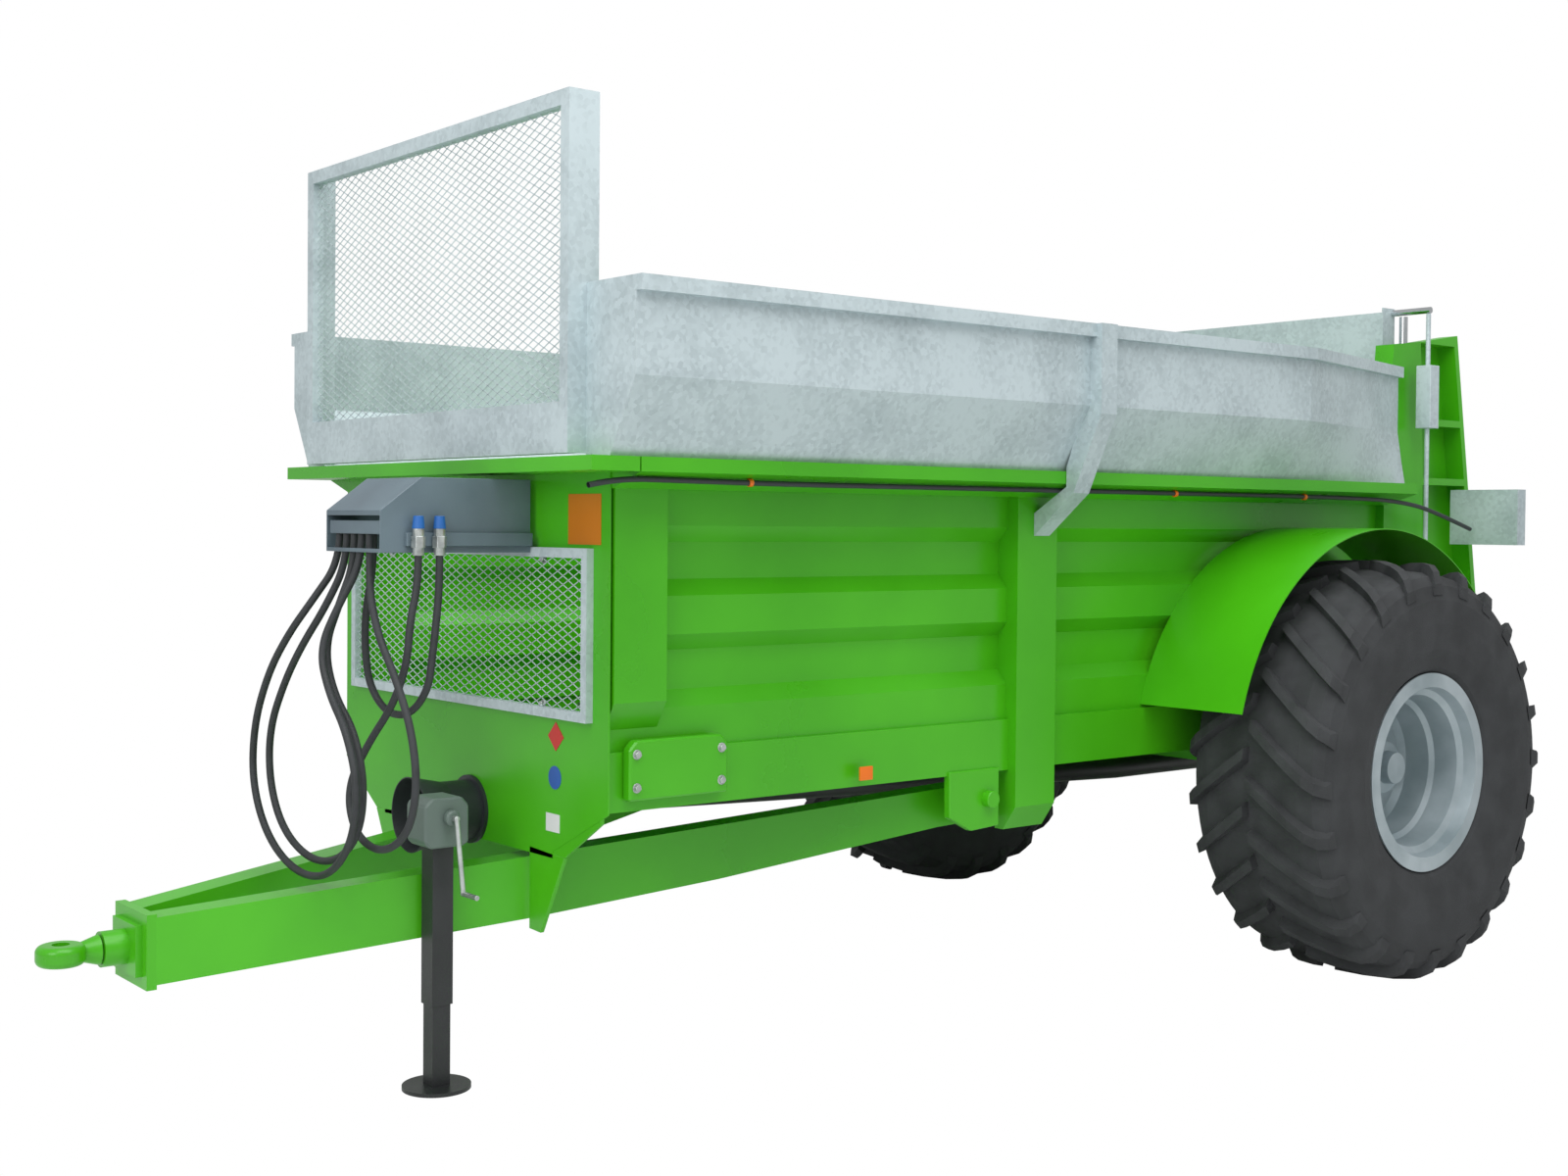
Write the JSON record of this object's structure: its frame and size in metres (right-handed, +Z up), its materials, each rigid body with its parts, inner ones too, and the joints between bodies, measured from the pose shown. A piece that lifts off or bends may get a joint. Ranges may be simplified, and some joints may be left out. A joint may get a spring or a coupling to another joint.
{
  "type": "manure spreader",
  "caption": "Single-axle box manure spreader with galvanised extension sides, front guard, sluice gate and leaning vertical beaters, towed by an eye on an A-frame drawbar.",
  "frame": {"origin": "on the ground, on the centre line, half way along the machine", "axes": "+X is the way it is towed, +Y its left, +Z up"},
  "size_m": [6.5214, 3.06, 2.985],
  "materials": {
    "green_paint": "gloss green enamel",
    "galvanised": "hot-dip galvanised, spangled",
    "black_paint": "satin black",
    "tyre": "vulcanised rubber",
    "rim_silver": "silver lacquer",
    "black_plastic": "moulded plastic",
    "steel": "bright zinc",
    "chrome": "hard chrome",
    "anthracite": "anthracite powder coat",
    "jack_grey": "grey-green casting paint"
  },
  "bodies": {
    "chassis": {"body_side_left": "green_paint", "body_side_right": "green_paint", "front_wall": "green_paint", "floor": "green_paint", "conveyor": "steel", "chassis": "green_paint", "axle": "green_paint", "mudguard_left": "green_paint", "mudguard_right": "green_paint", "extension_side_left": "galvanised", "extension_side_right": "galvanised", "guard_frame": "galvanised", "guard_mesh": "galvanised", "grille_frame": "galvanised", "grille_mesh": "galvanised", "drawbar": "green_paint", "eye_housing": "green_paint", "jack_tube": "black_paint", "jack_head": "jack_grey", "pto_guard": "black_plastic", "shaft_tube": "black_paint", "beater_drive": "green_paint", "top_beam": "green_paint", "rear_frame_left": "green_paint", "rear_frame_right": "green_paint", "lift_cylinders": "black_paint", "light_box_left": "galvanised", "light_box_right": "galvanised", "hose_holder": "anthracite"},
    "wheel_left": {"tyre_left": "tyre", "rim_left": "rim_silver"},
    "wheel_right": {"tyre_right": "tyre", "rim_right": "rim_silver"},
    "beater_left": {"beater_left": "green_paint"},
    "beater_right": {"beater_right": "green_paint"},
    "gate": {"sluice_gate": "galvanised", "lift_rods": "chrome"},
    "jack_leg": {"jack_leg": "black_paint"},
    "tow_eye": {"tow_eye": "green_paint"},
    "pto_shaft": {"pto_shaft": "steel"}
  },
  "joints": [
    {"name": "wheel_left_spin", "type": "hinge", "parent": "chassis", "child": "wheel_left", "pos_m": [-1.445, 1.23, 0.806], "axis": [0, 1, 0], "continuous": true},
    {"name": "wheel_right_spin", "type": "hinge", "parent": "chassis", "child": "wheel_right", "pos_m": [-1.445, -1.23, 0.806], "axis": [0, 1, 0], "continuous": true},
    {"name": "beater_left_spin", "type": "hinge", "parent": "chassis", "child": "beater_left", "pos_m": [-2.895, 0.38, 0.96], "axis": [0.1564, 0, 0.9877], "continuous": true},
    {"name": "beater_right_spin", "type": "hinge", "parent": "chassis", "child": "beater_right", "pos_m": [-2.895, -0.38, 0.96], "axis": [0.1564, 0, 0.9877], "continuous": true},
    {"name": "pto_spin", "type": "hinge", "parent": "chassis", "child": "pto_shaft", "pos_m": [1.89, 0.055, 0.79], "axis": [1, 0, 0], "continuous": true},
    {"name": "gate_lift", "type": "slide", "parent": "chassis", "child": "gate", "axis": [0, 0, 1], "range_m": [0, 1.1]},
    {"name": "jack_extend", "type": "slide", "parent": "chassis", "child": "jack_leg", "axis": [0, 0, 1], "range_m": [-0.1, 0.24]},
    {"name": "tow_eye_swivel", "type": "hinge", "parent": "chassis", "child": "tow_eye", "pos_m": [3.09, 0, 0.48], "axis": [1, 0, 0], "continuous": true}
  ],
  "couplings": [
    {"joint": "beater_right_spin", "follows": "beater_left_spin", "ratio": -1},
    {"joint": "pto_spin", "follows": "beater_left_spin", "ratio": 1.35}
  ]
}
